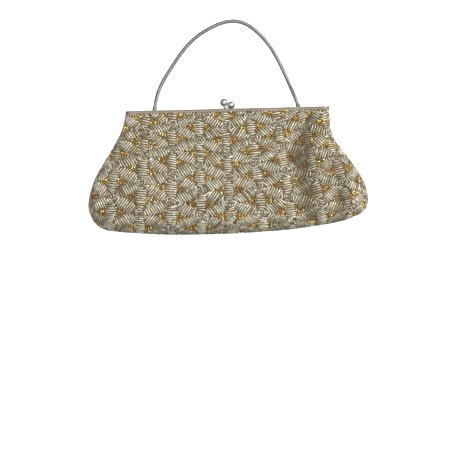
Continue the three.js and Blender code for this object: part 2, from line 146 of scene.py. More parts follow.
# Folds of the front panel: from and to in shares of half width and drop, width, lift
FOLDS = [
    ((0.6, 0.1), (0.5, 0.38), 0.075, -0.13),
    ((0.5, 0.38), (0.57, 0.85), 0.085, -0.12),
    ((0.66, 0.18), (0.7, 0.7), 0.08, 0.07),
    ((0.74, 0.42), (0.8, 0.8), 0.07, -0.12),
    ((0.88, 0.55), (0.9, 0.8), 0.08, 0.05),
    ((-0.58, 0.15), (-0.55, 0.5), 0.12, 0.05),
    ((-0.72, 0.3), (-0.84, 0.75), 0.09, -0.05),
    ((0.05, 0.5), (0.07, 0.85), 0.2, 0.03),
    ((0.22, 0.25), (0.27, 0.9), 0.1, -0.03),
]

# Painted shade in the folds: the fold depth at which beads get all of it, and how fast it grows
CREASE_DEPTH = 0.115
CREASE_POWER = 3
SEAM_STEPS = 240
SEAM_BATCH = 4000
ON_SEAM = 0.4
LEAST_CURL = 0.05
FRONT_EDGE_RADIUS = 16
BACK_EDGE_RADIUS = 9


def mix(a, b, share):
    return a + (b - a) * share


def smooth(span, value):
    t = np.clip((value - span[0]) / (span[1] - span[0]), 0, 1)
    return t * t * (3 - 2 * t)


def unit(vectors):
    return vectors / np.maximum(np.linalg.norm(vectors, axis=-1, keepdims=True), TINY)


class Curve:
    """A smooth curve through points that keeps clear of loops, with places by share of its length."""

    def __init__(self, points, steps=6000):
        inner = np.array(points, float)
        first = 2 * inner[0] - inner[1]
        last = 2 * inner[-1] - inner[-2]
        self.points = np.vstack([first, inner, last])
        self.params = np.linspace(0, 1, steps)
        lengths = np.linalg.norm(np.diff(self.by_param(self.params), axis=0), axis=1)
        self.lengths = np.concatenate([[0], np.cumsum(lengths)])
        self.total = self.lengths[-1]

    def by_param(self, params):
        spans = len(self.points) - 3
        scaled = np.asarray(params, float) * spans
        index = np.minimum(scaled.astype(int), spans - 1)
        t = (scaled - index)[..., None]
        p0, p1, p2, p3 = (self.points[index + k] for k in range(4))
        d0, d1, d2 = (
            np.sqrt(np.linalg.norm(b - a, axis=-1, keepdims=True))
            for a, b in ((p0, p1), (p1, p2), (p2, p3))
        )
        m1 = ((p1 - p0) / d0 - (p2 - p0) / (d0 + d1) + (p2 - p1) / d1) * d1
        m2 = ((p2 - p1) / d1 - (p3 - p1) / (d1 + d2) + (p3 - p2) / d2) * d1
        square, cube = t * t, t * t * t
        return (
            p1
            + m1 * t
            + (-3 * p1 + 3 * p2 - 2 * m1 - m2) * square
            + (2 * p1 - 2 * p2 + m1 + m2) * cube
        )

    def at(self, shares):
        params = np.interp(np.asarray(shares) * self.total, self.lengths, self.params)
        return self.by_param(params)


def seam_points():
    span = PURSE_DROP + PANEL_TOP
    left = []
    right = []
    for down, left_share, right_share in SIDE_ROWS:
        y = PANEL_TOP - span * down
        left.append((-mix(FRAME_HALF, BELLY_HALF, left_share), y))
        right.append((mix(FRAME_HALF, BELLY_HALF, right_share), y))
    bottom = [(across * BELLY_HALF, PANEL_TOP - span * down) for across, down in BOTTOM_ROWS]
    return left + bottom + right[::-1]


seam = Curve(seam_points())
seam_samples = seam.at(np.linspace(0, 1, SEAM_STEPS + 1))
first_top = [(seam_samples[0][0], PURSE_DROP)]
last_top = [(seam_samples[-1][0], PURSE_DROP)]
seam_path = np.vstack([first_top, seam_samples, last_top])


def corner_share(side):
    reach = side * seam_samples[:, 0] - seam_samples[:, 1]
    return np.argmax(reach) / SEAM_STEPS


left_corner = corner_share(-1)
right_corner = corner_share(1)


def from_seam(points):
    """Signed distance inside the seam, the nearest place on it, and the direction into the panel."""
    points = np.asarray(points, float)
    start = seam_path[:-1]
    run = np.diff(seam_path, axis=0)
    size = np.sum(run * run, axis=1)
    distance = np.empty(len(points))
    foot = np.empty((len(points), 2))
    inward = np.empty((len(points), 2))
    for low in range(0, len(points), SEAM_BATCH):
        here = slice(low, low + SEAM_BATCH)
        part = points[here]
        away = part[:, None, :] - start[None]
        share = np.clip(np.sum(away * run, axis=2) / size, 0, 1)
        nearest = start + share[..., None] * run
        gaps = np.linalg.norm(part[:, None, :] - nearest, axis=2)
        best = np.argmin(gaps, axis=1)
        rows = np.arange(len(part))
        near = nearest[rows, best]
        direction = run[best] / np.sqrt(size[best])[:, None]
        normal = np.stack([-direction[:, 1], direction[:, 0]], axis=1)
        offset = part - near
        side = np.where(np.sum(offset * normal, axis=1) >= 0, 1.0, -1.0)
        gap = gaps[rows, best]
        along = side[:, None] * offset / np.maximum(gap, TINY)[:, None]
        distance[here] = side * gap
        foot[here] = near
        inward[here] = np.where(gap[:, None] > ON_SEAM, along, normal)
    return distance, foot, inward


def down_share(y):
    return np.clip(-y / PURSE_DROP, 0, 1)


def seam_height(y):
    return mix(PARTING, BELLY_SEAM_HEIGHT, smooth(SEAM_SINKS, down_share(y)))


def edge_radius(y, belly_radius):
    return mix(LEG_EDGE_RADIUS, belly_radius, smooth(EDGE_SOFTENS, down_share(y)))


def edge_rise(points, belly_radius):
    distance = np.abs(from_seam(points)[0])
    share = np.minimum(distance / edge_radius(points[:, 1], belly_radius), 1)
    return np.sqrt(1 - (1 - share) ** 2)


def raw_lift(points):
    lift = np.zeros(len(points))
    for start, end, width, height in FOLDS:
        a = np.array([start[0] * BELLY_HALF, -start[1] * PURSE_DROP])
        b = np.array([end[0] * BELLY_HALF, -end[1] * PURSE_DROP])
        share = np.clip(((points - a) @ (b - a)) / ((b - a) @ (b - a)), 0, 1)
        away = np.linalg.norm(points - a - share[:, None] * (b - a), axis=1)
        lift += height * BELLY_DEPTH * np.exp(-((away / (width * PURSE_DROP)) ** 2))
    return lift


def fold_lift(points):
    return raw_lift(points) * smooth(FOLDS_START, down_share(points[:, 1]))


class Panel:
    """The outer face of one panel as a height over the plan, and what is laid on it."""

    def __init__(self, facing, belly_radius):
        self.facing = facing
        self.belly_radius = belly_radius

    def height(self, points):
        x, y = points[:, 0], points[:, 1]
        rise = edge_rise(points, self.belly_radius)
        if self.facing < 0:
            return seam_height(y) * (1 - rise)
        down = down_share(y)
        swell = smooth(BELLY_SWELLS, down) * (1 - BOTTOM_FALL * smooth(BOTTOM_FALLS, down))
        narrow = 1 - SIDE_FALL * (x / BELLY_HALF) ** 2
        full = CLOSED_DEPTH + (BELLY_DEPTH - CLOSED_DEPTH) * swell * narrow + fold_lift(points)
        return mix(seam_height(y), full, rise)

    def normal(self, points):
        step = 0.03
        east, north = np.array([step, 0]), np.array([0, step])
        slope_x = (self.height(points + east) - self.height(points - east)) / (2 * step)
        slope_y = (self.height(points + north) - self.height(points - north)) / (2 * step)
        return unit(np.stack([-slope_x, -slope_y, np.ones(len(points))], axis=1)) * self.facing

    def fold_shade_mask(self, places):
        """How deep in a fold places lie, from 0 to 1: the share of painted shade their beads get."""
        if self.facing < 0:
            return np.zeros(len(places))
        depth = -raw_lift(places[:, :2]) / (CREASE_DEPTH * BELLY_DEPTH)
        return np.clip(depth, 0, 1) ** CREASE_POWER

    def lay(self, pattern):
        """Flat points of the bead pattern, laid over the panel and round its edge to the seam.

        Returns places, outward normals and the room left before the seam."""
        distance, foot, inward = from_seam(pattern)
        radius = edge_radius(foot[:, 1], self.belly_radius)
        crest = self.height(foot + inward * radius[:, None])
        rise = np.abs(crest - seam_height(foot[:, 1]))
        quarter = math.pi / 2 * np.sqrt((radius**2 + rise**2) / 2)
        turn = math.pi / 2 * (1 - (radius - distance) / quarter)
        curled = radius * (1 - np.cos(np.clip(turn, 0, math.pi / 2)))
        near = distance < radius
        plan = np.where(near[:, None], foot + inward * np.maximum(curled, LEAST_CURL)[:, None], pattern)
        room = np.where(near, turn / (math.pi / 2) * quarter, quarter)
        places = np.column_stack([plan, self.height(plan)])
        return places, self.normal(plan), room


front = Panel(1, FRONT_EDGE_RADIUS)
back = Panel(-1, BACK_EDGE_RADIUS)


# Meshes
def to_metres(points):
    return (np.asarray(points, float) + ORIGIN) * MM


def make_piece(name, points, quads, material, slot, replaced=(), floats=None):
    """A mesh of four-cornered faces, in millimetres, as a piece that rides on the part."""
    mesh = bpy.data.meshes.new(name)
    mesh.vertices.add(len(points))
    mesh.vertices.foreach_set("co", to_metres(points).astype(np.float32).ravel())
    mesh.loops.add(4 * len(quads))
    mesh.loops.foreach_set("vertex_index", np.asarray(quads, np.int32).ravel())
    mesh.polygons.add(len(quads))
    mesh.polygons.foreach_set("loop_start", np.arange(len(quads), dtype=np.int32) * 4)
    for key, values in (floats or {}).items():
        attribute = mesh.attributes.new(key, "FLOAT", "POINT")
        attribute.data.foreach_set("value", np.asarray(values, np.float32))
    mesh.update(calc_edges=True)
    mesh.validate()
    mesh.polygons.foreach_set("use_smooth", np.ones(len(mesh.polygons), bool))
    mesh.materials.append(material)
    piece = added(name, mesh)
    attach(piece, "root")
    for node in replaced:
        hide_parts(node)


def grid_quads(rows, columns, wrap_rows=False, wrap_columns=False, flip=False):
    """Faces of a grid of points kept row by row."""
    i = np.arange(rows if wrap_rows else rows - 1)
    j = np.arange(columns if wrap_columns else columns - 1)
    i, j = (v.ravel() for v in np.meshgrid(i, j, indexing="ij"))
    up, over = (i + 1) % rows, (j + 1) % columns
    corners = [i * columns + j, i * columns + over, up * columns + over, up * columns + j]
    return np.stack(corners[::-1] if flip else corners, axis=1)


def turn_of(steps):
    """Angles that go evenly round once."""
    return np.arange(steps) * 2 * math.pi / steps


def tube(points, normals, radii):
    """A ring of points at each place of a path, joined. radii holds a row of radii per place."""
    points = np.asarray(points, float)
    along = unit(np.gradient(points, axis=0))
    normals = unit(normals - np.sum(normals * along, axis=1, keepdims=True) * along)
    across = np.cross(along, normals)
    angles = turn_of(radii.shape[1])[None, :, None]
    ring = np.cos(angles) * across[:, None] + np.sin(angles) * normals[:, None]
    places = points[:, None] + radii[..., None] * ring
    return places.reshape(-1, 3), grid_quads(*radii.shape, wrap_columns=True)


# Materials
class Look:
    """A node material with short ways to add and join its nodes."""

    def __init__(self, name):
        self.material = bpy.data.materials.new(name)
        self.material.use_nodes = True
        self.tree = self.material.node_tree
        self.shader = self.tree.nodes["Principled BSDF"]

    def add(self, kind, **settings):
        node = self.tree.nodes.new(kind)
        for key, value in settings.items():
            setattr(node, key, value)
        return node

    def feed(self, socket, value):
        if isinstance(value, bpy.types.NodeSocket):
            self.tree.links.new(value, socket)
        else:
            socket.default_value = value

    def fill(self, node, **values):
        for key, value in values.items():
            self.feed(node.inputs[key.replace("_", " ")], value)

    def set(self, **values):
        self.fill(self.shader, **values)

    def place(self):
        return self.add("ShaderNodeTexCoord").outputs["Object"]

    def stretched(self, scale):
        mapping = self.add("ShaderNodeMapping")
        self.fill(mapping, Vector=self.place(), Scale=scale)
        return mapping.outputs["Vector"]

    def noise(self, scale, detail=3.0, roughness=0.5, vector=None):
        node = self.add("ShaderNodeTexNoise")
        vector = vector or self.place()
        self.fill(node, Vector=vector, Scale=scale, Detail=detail, Roughness=roughness)
        return node.outputs["Fac"]

    def attribute(self, name):
        return self.add("ShaderNodeAttribute", attribute_name=name).outputs["Fac"]

    def maths(self, operation, a, b=0.0):
        node = self.add("ShaderNodeMath", operation=operation)
        for socket, value in zip(node.inputs, (a, b)):
            self.feed(socket, value)
        return node.outputs[0]

    def ramp(self, value, stops):
        node = self.add("ShaderNodeValToRGB")
        self.fill(node, Fac=value)
        fill_ramp(node, [(position, linear(colour)) for position, colour in stops])
        return node.outputs["Color"]

    def scaled(self, value, low, high):
        node = self.add("ShaderNodeMapRange")
        self.fill(node, Value=value, To_Min=low, To_Max=high)
        return node.outputs["Result"]

    def blend(self, share, a, b, kind="MIX"):
        """Two colours mixed. The node's inputs 6 and 7 and its output 2 are the ones for colours."""
        node = self.add("ShaderNodeMix", data_type="RGBA", blend_type=kind)
        self.feed(node.inputs["Factor"], share)
        self.feed(node.inputs[6], a if isinstance(a, bpy.types.NodeSocket) else (*linear(a), 1))
        self.feed(node.inputs[7], b if isinstance(b, bpy.types.NodeSocket) else (*linear(b), 1))
        return node.outputs[2]

    def bump(self, height, strength, distance):
        node = self.add("ShaderNodeBump")
        self.fill(node, Height=height, Strength=strength, Distance=distance * MM)
        self.set(Normal=node.outputs["Normal"])


def fill_ramp(node, stops):
    """Gives a colour ramp its stops: positions and linear colours."""
    elements = node.color_ramp.elements
    while len(elements) < len(stops):
        elements.new(0.5)
    for element, (position, colour) in zip(elements, stops):
        element.position = position
        element.color = (*colour, 1)


def linear(colour):
    """A colour written as 0 to 255 per channel, as Blender wants it."""
    shares = np.array(colour, float) / 255
    return tuple(np.where(shares <= 0.04045, shares / 12.92, ((shares + 0.055) / 1.055) ** 2.4))


WHITE = (255, 255, 255)
STREAK_TINT = (176, 172, 166)
# Painted shade for the beads that lie in the folds of the front panel
FOLD_SHADE_TINT = (178, 171, 150)
HOLE_SHARPNESS = 6.0
HOLE_DARKNESS = 0.75


def bead_glass(name, bodies, end, metallic, roughness, streaks):
    """Silver-lined glass: its colour changes from bead to bead and it darkens at the thread holes, and
    beads in the folds are darkened with painted shade.
    """
    look = Look(name)
    tint = look.attribute("tint")
    along = look.maths("ABSOLUTE", look.attribute("along"))
    body = look.ramp(tint, [(k / (len(bodies) - 1), colour) for k, colour in enumerate(bodies)])
    hole = look.maths("POWER", along, HOLE_SHARPNESS)
    colour = look.blend(look.maths("MULTIPLY", hole, HOLE_DARKNESS), body, end)
    streak = look.noise(streaks, detail=2.0)
    shade = look.ramp(streak, [(0.3, STREAK_TINT), (0.62, WHITE)])
    # Painted shade: the beads in the folds are given a darker colour
    painted_fold_shade = look.blend(look.attribute("fold_shade_mask"), WHITE, FOLD_SHADE_TINT)
    shaded = look.blend(1.0, colour, shade, "MULTIPLY")
    look.set(
        Base_Color=look.blend(1.0, shaded, painted_fold_shade, "MULTIPLY"),
        Metallic=metallic,
        Roughness=look.scaled(streak, roughness * 0.7, roughness * 1.3),
        Coat_Weight=0.3,
        Coat_Roughness=0.06,
        IOR=1.5,
    )
    look.bump(look.noise(900.0, detail=1.0), strength=0.25, distance=0.05)
    return look.material


def cloth_look(name, dark, light):
    """Close-woven silk under the beads."""
    look = Look(name)
    warp = look.add("ShaderNodeTexWave", wave_type="BANDS", bands_direction="X")
    weft = look.add("ShaderNodeTexWave", wave_type="BANDS", bands_direction="Y")
    for node in (warp, weft):
        look.fill(node, Vector=look.place(), Scale=900.0, Distortion=0.8, Detail=1.0)
    weave = look.maths("ADD", warp.outputs["Fac"], weft.outputs["Fac"])
    worn = look.noise(60.0, detail=5.0)
    shade = look.maths("ADD", look.maths("MULTIPLY", weave, 0.2), worn)
    colour = look.ramp(shade, [(0.35, dark), (0.9, light)])
    look.set(Base_Color=colour, Roughness=0.75, Sheen_Weight=0.3)
    look.bump(weave, strength=0.5, distance=0.12)
    return look.material


def metal_look(name, dark, light, roughness, grain):
    """Plated metal with fine lines along the frame and a few dull patches."""
    look = Look(name)
    lines = look.noise(1.0, detail=4.0, vector=look.stretched(grain))
    patches = look.noise(55.0, detail=5.0, roughness=0.6)
    shade = look.maths("ADD", look.maths("MULTIPLY", lines, 0.5), look.maths("MULTIPLY", patches, 0.5))
    look.set(
        Base_Color=look.ramp(shade, [(0.3, dark), (0.7, light)]),
        Metallic=1.0,
        Roughness=look.scaled(shade, roughness * 0.6, roughness * 1.5),
    )
    look.bump(lines, strength=0.2, distance=0.04)
    return look.material


CREAM_TINTS = [
    (140, 128, 100),
    (186, 178, 146),
    (196, 183, 166),
    (206, 200, 178),
    (184, 192, 168),
    (206, 195, 180),
    (212, 205, 187),
    (222, 215, 198),
]
# Gold colours from bead to bead; the last two, near white, are painted glints
GOLD_TINTS_AND_GLINTS = [
    (114, 84, 40),
    (150, 110, 54),
    (192, 137, 72),
    (160, 145, 76),
    (200, 151, 82),
    (214, 181, 104),
    (255, 230, 140),
    (255, 246, 200),
]
cream_glass = bead_glass(
    "cream_glass", CREAM_TINTS, (120, 104, 80), metallic=0.2, roughness=0.36, streaks=420.0
)
gold_glass = bead_glass(
    "gold_glass", GOLD_TINTS_AND_GLINTS, (110, 80, 36), metallic=0.3, roughness=0.16, streaks=500.0
)
# The cloth under the beads is darker than the bare satin: its colour is partly painted shade for the
# gaps between the beads
under_cloth_painted_shade = cloth_look("under_cloth_painted_shade", (78, 67, 50), (110, 95, 72))
satin = cloth_look("satin", (118, 108, 96), (146, 136, 123))
pink_satin = cloth_look("pink_satin", (150, 134, 124), (196, 178, 166))
nickel = metal_look("nickel", (118, 110, 98), (146, 137, 124), 0.45, (40, 1400, 1400))
chrome = metal_look("chrome", (150, 152, 154), (184, 186, 188), 0.42, (300, 300, 300))
chain_metal = metal_look("chain_metal", (112, 112, 112), (142, 142, 142), 0.48, (500, 500, 500))

# The bead pattern: columns of knots, each joined to its neighbours by ladders of bugle beads.
# A column's place across, at the top and the bottom of the purse, and the drop of its levels:
# first + step * level + growth * level squared. Neighbouring columns have their knots on every
# second level, half a step apart.
COLUMNS = np.array([
    (-145.0, -155.0, -12.0, 10.3, 0.24),
    (-121.0, -130.0, -10.0, 10.3, 0.24),
    (-96.8, -106.3, -8.3, 10.3, 0.24),
    (-71.3, -80.0, -1.0, 8.95, 0.325),
    (-48.2, -51.6, 4.2, 9.8, 0.19),
    (-25.3, -25.3, 5.5, 10.9, 0.04),
    (-2.8, 1.2, 5.0, 11.5, -0.025),
    (18.7, 30.2, 6.9, 9.9, 0.125),
    (42.6, 55.5, 4.2, 9.8, 0.15),
    (64.8, 82.5, 0.35, 8.33, 0.32),
    (85.0, 108.0, -9.4, 10.1, 0.13),
    (112.0, 130.0, -12.0, 9.8, 0.15),
    (138.0, 153.0, -14.0, 9.8, 0.15),
])
LEVELS = range(-2, 15)
COLUMN_STEP = math.sqrt(3)
LAST_PLACE = len(COLUMNS) - 1.001

# Bugle beads: sizes, how near two may lie, and how far one may tilt, sink and fall short
BUGLE_RADIUS = 0.66
BUGLE_PITCH = 2.08
BUGLE_SIDES = 8
BUGLE_CLOSEST = 0.8
BUGLE_WOBBLE = 0.05
BUGLE_USUAL = 6
BUGLE_SINKS = 0.12
BUGLE_SHORTER = 0.12
BUGLE_LEAST_HALF = 0.45
BUGLE_CLEAR = 0.1
SHORTEST_BUGLE = 0.8

# Ladders: half widths as shares of the distance between knots, and how many rungs at each end are
# left out, and how many more lie loose and by how much for each step nearer to the knot
COLUMN_LADDER = 0.29
ARM_LADDER = 0.38
INTERLOCK = 0.03
RAGGED = 0.022
FEWEST_RUNGS = 6
KNOT_FREE = 2
KNOT_LOOSE = 4
LOOSE_DRIFT = 0.035
LOOSE_LEAN = 0.12
LOOSE_SHORTER = 0.14
LEAN = 0.03

# Seed beads: the silver ones in the knots, and the gold ones in rows that fill a triangle
KNOT_RING = 0.185
KNOT_RING_BEADS = 8
GOLD_SEED = {"radius": 0.95, "half": 0.75, "closest": 1.25, "jitter": 0.25}
SILVER_SEED = {"radius": 0.85, "half": 0.64, "closest": 1.1, "jitter": 0.15}
SEED_SIDES = 10
SEED_SINKS = (-0.1, 0.15)
SEED_TURN = 0.7
SEED_TILT = 0.25
CLUSTER_ROWS = 5
CLUSTER_SPAN = 0.7
CLUSTER_SHIFT = 0.056
STRIP_LOW = -2.76


def column_drop(column, level):
    first, step, growth = COLUMNS[column, 2:].T
    return first + step * level + growth * level * level


def column_across(column, drop):
    top, bottom = COLUMNS[column, :2].T
    return mix(top, bottom, drop / PURSE_DROP)


def laid_out(even):
    """Points of the even pattern, whose knots are corners of equal triangles, as they lie flat."""
    even = np.asarray(even, float)
    place = np.clip(even[:, 0] / COLUMN_STEP, 0, LAST_PLACE)
    column = place.astype(int)
    share = place - column
    level = even[:, 1]
    sides = []
    for side in (column, column + 1):
        drop = column_drop(side, level)
        sides.append(np.stack([column_across(side, drop), -drop], axis=1))
    return mix(sides[0], sides[1], share[:, None])


def cells(odd):
    """Columns and levels that add up to an odd number, where the knots are, or to an even one."""
    for column in range(len(COLUMNS)):
        for level in LEVELS:
            if (column + level) % 2 == odd:
                yield column, level


def turned_by(vector, angle):
    cos, sin = math.cos(angle), math.sin(angle)
    return np.array([cos * vector[0] - sin * vector[1], sin * vector[0] + cos * vector[1]])


def ladder_rungs():
    """Both ends of every rung in the even pattern, for the upright ladders and the sloping ones."""
    rng = np.random.default_rng(5)
    upright, sloping = [], []
    tan30 = math.tan(math.radians(30))
    for column, level in cells(1):
        start = np.array([column * COLUMN_STEP, level])
        for over, drop, half, found in (
            (0, 2, COLUMN_LADDER, upright),
            (1, 1, ARM_LADDER, sloping),
            (1, -1, ARM_LADDER, sloping),
        ):
            if column + over >= len(COLUMNS):
                continue
            run = np.array([over * COLUMN_STEP, drop])
            across = np.array([-run[1], run[0]]) / 2
            ends = laid_out([start, start + run, start + run / 2 - across, start + run / 2 + across])
            rung = unit(ends[3] - ends[2])
            edge = ends[1] - ends[0]
            extent = abs(edge[0] * rung[1] - edge[1] * rung[0])
            count = max(int(round(extent / BUGLE_PITCH)), FEWEST_RUNGS)
            for i in range(KNOT_FREE, count - KNOT_FREE + 1):
                t = i / count
                reach = min(t, 1 - t) * 2
                wide = min(half + rng.normal(0, RAGGED), reach * tan30 + INTERLOCK)
                loose = max(KNOT_LOOSE - min(i, count - i), 0)
                middle = start + run * t + across * rng.normal(0, LOOSE_DRIFT * loose)
                lean = turned_by(across, rng.normal(0, LEAN + LOOSE_LEAN * loose))
                wide = wide * rng.uniform(1 - LOOSE_SHORTER * loose, 1)
                found.append((middle - lean * wide, middle + lean * wide))
    return np.array(upright), np.array(sloping)


def knot_places():
    """The small silver beads that fill every knot, ring by ring, as they lie flat."""
    rng = np.random.default_rng(9)
    places = []
    for column, level in cells(1):
        centre = np.array([column * COLUMN_STEP, level])
        around = [(-0.5, 0), (0.5, 0), (0, -0.5), (0, 0.5)]
        west, east, low, high = laid_out([centre + np.array(step) for step in around])
        stretch = np.array([abs(east[0] - west[0]), abs(high[1] - low[1])])
        middle = laid_out([centre])[0]
        angles = rng.uniform(0, 2 * math.pi) + turn_of(KNOT_RING_BEADS)
        ring = KNOT_RING * stretch * np.stack([np.cos(angles), np.sin(angles)], axis=1)
        places.extend([middle, *(middle + ring)])
    return np.array(places)


def gold_places():
    """The seed beads in the middle of every triangle between three knots, as they lie flat."""
    places = []
    step = CLUSTER_SPAN / (CLUSTER_ROWS - 1)
    rows = [(row, k) for row in range(CLUSTER_ROWS) for k in range(row + 1)]
    middle_row = 2 * (CLUSTER_ROWS - 1) / 3
    for column, level in cells(0):
        for side in (-1, 1):
            across = column * COLUMN_STEP + side * (COLUMN_STEP / 3 - CLUSTER_SHIFT)
            for row, k in rows:
                out = (middle_row - row) * step * COLUMN_STEP / 2
                places.append((across + side * out, level + (k - row / 2) * step))
    return laid_out(places)


def beads(centres, axes, normals, halves, fold_shade_mask, shape, rng):
    """All beads of one kind as one mesh. shape holds their radius, their profile, whose rows are
    (end share, set back, radius share), and the number of sides."""
    radius, profile, sides = shape
    end_share, set_back, radius_share = np.array(profile).T
    quads = grid_quads(len(profile), sides, wrap_columns=True, flip=True)
    axes = unit(axes)
    normals = unit(normals - np.sum(normals * axes, axis=1, keepdims=True) * axes)
    across = np.cross(axes, normals)
    turns = rng.uniform(0, 2 * math.pi, len(centres))
    angles = turns[:, None] + turn_of(sides)
    cos, sin = np.cos(angles)[:, :, None], np.sin(angles)[:, :, None]
    ring = cos * across[:, None] + sin * normals[:, None]
    along = end_share[None] * halves[:, None] - set_back[None] * radius
    points = (
        centres[:, None, None]
        + along[:, :, None, None] * axes[:, None, None]
        + (radius_share * radius)[None, :, None, None] * ring[:, None]
    )
    size = len(profile) * sides
    all_quads = (quads[None] + (np.arange(len(centres)) * size)[:, None, None]).reshape(-1, 4)
    tint = np.repeat(rng.uniform(0, 1, len(centres)), size)
    share = np.repeat((along / (halves[:, None] + TINY)).ravel(), sides)
    floats = {"tint": tint, "along": share, "fold_shade_mask": np.repeat(fold_shade_mask, size)}
    return points.reshape(-1, 3), all_quads, floats


BUGLE_PROFILE = [
    (-1, -0.25, 0.34),
    (-1, 0, 0.5),
    (-1, -0.2, 1.0),
    (1, 0.2, 1.0),
    (1, 0, 0.5),
    (1, 0.25, 0.34),
]
SEED_PROFILE = [(-1, 0, 0.42), (-1, -0.28, 0.86), (0, 0, 1.0), (1, 0.28, 0.86), (1, 0, 0.42)]


def clip_rungs(starts, ends):
    """Cuts off what would reach above the strip under the rail."""
    over_start = starts[:, 1] > STRIP_LOW
    over_end = ends[:, 1] > STRIP_LOW
    keep = ~(over_start & over_end)
    run = ends - starts
    steep = np.where(np.abs(run[:, 1]) < TINY, TINY, run[:, 1])
    cut = starts + run * ((STRIP_LOW - starts[:, 1]) / steep)[:, None]
    starts = np.where(over_start[:, None], cut, starts)
    ends = np.where(over_end[:, None], cut, ends)
    return starts[keep], ends[keep]


def clip_at_seam(panel, starts, ends):
    """Shortens the rungs that one end would take past the seam."""
    room_a = panel.lay(starts)[2]
    room_b = panel.lay(ends)[2]
    aim = BUGLE_ROOM + CUT_ROOM
    spread = np.maximum(np.abs(room_a - room_b), CUT_ROOM)
    run = ends - starts
    cut_start = (room_a < aim) & (room_b > aim)
    cut_end = (room_b < aim) & (room_a > aim)
    starts = np.where(cut_start[:, None], starts + run * ((aim - room_a) / spread)[:, None], starts)
    ends = np.where(cut_end[:, None], ends - run * ((aim - room_b) / spread)[:, None], ends)
    return starts, ends


NEIGHBOURS = [(x, y, z) for x in (-1, 0, 1) for y in (-1, 0, 1) for z in (-1, 0, 1)]


class BeadField:
    """Keeps beads from running into ones already sewn on."""

    def __init__(self, cell):
        self.cell = cell
        self.taken = {}

    def free(self, place, closest):
        key = tuple(np.floor(place / self.cell).astype(int))
        for dx, dy, dz in NEIGHBOURS:
            for other in self.taken.get((key[0] + dx, key[1] + dy, key[2] + dz), ()):
                if np.sum((other - place) ** 2) < closest * closest:
                    return False
        self.taken.setdefault(key, []).append(place)
        return True


# The room that a bead keeps before the seam, its clearance over the table, and the field's limits
BUGLE_ROOM = 0.5
CUT_ROOM = 0.1
SEED_ROOM = 0.7
SEED_CLEAR = 0.1
SEED_OVER_STRIP = 0.3
FIELD_HALF = 150
FIELD_LOW = -135
FIELD_CELL = 1.6

# A bare place near the front's lower left corner, where the beads have come off the satin
BARE_MIDDLE = np.array([-107.5, -104.2])
BARE_HALVES = np.array([3.9, 2.5])


def on_bare_spot(flat, panel):
    away = np.linalg.norm((flat - BARE_MIDDLE) / BARE_HALVES, axis=1)
    return (away < 1) & (panel.facing > 0)


def sew_bugles(name, panel, rungs, way, field, rng):
    starts = laid_out(rungs[:, 0]) * way
    ends = laid_out(rungs[:, 1]) * way
    starts, ends = clip_rungs(starts, ends)
    flat = np.linalg.norm(ends - starts, axis=1)
    inside = np.abs((starts[:, 0] + ends[:, 0]) / 2) < FIELD_HALF
    inside &= starts[:, 1] > FIELD_LOW
    keep = (flat > SHORTEST_BUGLE) & inside
    starts, ends = starts[keep], ends[keep]
    starts, ends = clip_at_seam(panel, starts, ends)
    a, normal_a, room_a = panel.lay(starts)
    b, normal_b, room_b = panel.lay(ends)
    normals = unit(normal_a + normal_b)
    length = np.linalg.norm(b - a, axis=1)
    keep = (np.minimum(room_a, room_b) > BUGLE_ROOM) & (length > SHORTEST_BUGLE)
    keep &= ~on_bare_spot((starts + ends) / 2, panel)
    middle = (a + b) / 2
    order = np.nonzero(keep)[0]
    kept = [i for i in order if field.free(middle[i], BUGLE_CLOSEST)]
    a, b, normals, length, middle = (v[kept] for v in (a, b, normals, length, middle))
    wobble = rng.normal(0, BUGLE_WOBBLE, (len(kept), 3)) * length[:, None] / BUGLE_USUAL
    centres = middle - normals * (BUGLE_RADIUS + rng.uniform(0, BUGLE_SINKS, len(kept)))[:, None]
    centres[:, 2] = np.maximum(centres[:, 2], BUGLE_RADIUS + BUGLE_CLEAR)
    halves = np.maximum(length / 2 - BUGLE_SHORTER, BUGLE_LEAST_HALF)
    shape = (BUGLE_RADIUS, BUGLE_PROFILE, BUGLE_SIDES)
    # How much painted fold shade each bead gets
    fold_shade_mask = panel.fold_shade_mask(centres)
    points, quads, floats = beads(centres, b - a + wobble, normals, halves, fold_shade_mask, shape, rng)
    make_piece(name, points, quads, cream_glass, "beading", floats=floats)


def sew_seeds(name, panel, spots, way, seed, glass, field, rng):
    flat = spots * way + rng.normal(0, seed["jitter"], spots.shape)
    inside = (flat[:, 1] < STRIP_LOW + SEED_OVER_STRIP) & (flat[:, 1] > FIELD_LOW)
    inside &= np.abs(flat[:, 0]) < FIELD_HALF
    flat = flat[inside & ~on_bare_spot(flat, panel)]
    places, normals, room = panel.lay(flat)
    free = [i for i in np.nonzero(room > SEED_ROOM)[0] if field.free(places[i], seed["closest"])]
    places, normals = places[free], normals[free]
    radius = seed["radius"]
    centres = places - normals * (radius + rng.uniform(*SEED_SINKS, len(free)))[:, None]
    centres[:, 2] = np.maximum(centres[:, 2], radius + SEED_CLEAR)
    heading = rng.normal(math.pi / 2, SEED_TURN, len(free))
    axes = np.stack([np.cos(heading), np.sin(heading), rng.normal(0, SEED_TILT, len(free))], axis=1)
    halves = np.full(len(free), seed["half"])
    shape = (radius, SEED_PROFILE, SEED_SIDES)
    fold_shade_mask = panel.fold_shade_mask(centres)
    points, quads, floats = beads(centres, axes, normals, halves, fold_shade_mask, shape, rng)
    make_piece(name, points, quads, glass, "beading", floats=floats)


